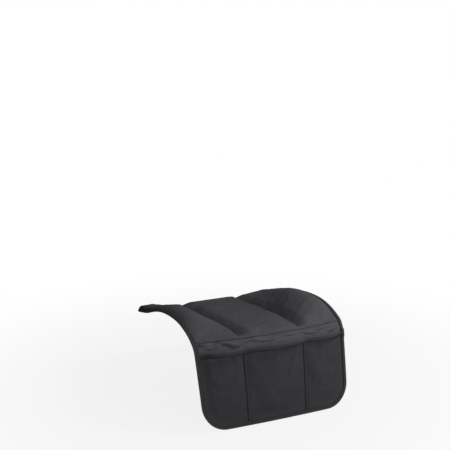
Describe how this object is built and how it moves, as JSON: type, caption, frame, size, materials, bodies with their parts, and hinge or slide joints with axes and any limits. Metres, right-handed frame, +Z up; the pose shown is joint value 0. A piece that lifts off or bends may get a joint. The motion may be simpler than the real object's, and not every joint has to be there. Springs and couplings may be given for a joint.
{
  "type": "car seat protector",
  "caption": "Padded charcoal cloth mat that drapes over a car cushion, with a front flap carrying black mesh pockets.",
  "frame": {"origin": "on the underside of the mat, at the middle of the flat panel that lies on the cushion", "axes": "+Z up, -Y the way the front flap faces, +X to the right of someone sitting on it, looking along -Y from above the rear edge"},
  "size_m": [0.4706, 0.5114, 0.2795],
  "materials": {
    "charcoal_cloth": "matt woven",
    "underside_cloth": "matt, with small grip dots",
    "foam": "matt foam, hidden between the cloths",
    "black_tape": "matt ribbed tape",
    "black_net": "matt open net"
  },
  "bodies": {
    "root": {"seat_face_cloth": "charcoal_cloth", "flap_face_cloth": "charcoal_cloth", "backing_cloth": "underside_cloth", "foam_pad_left": "foam", "foam_pad_centre": "foam", "foam_pad_right": "foam", "edge_binding": "black_tape", "mesh_pocket_panel": "black_net", "pocket_top_binding": "black_tape", "divider_tape_left": "black_tape", "divider_tape_right": "black_tape"}
  },
  "joints": []
}
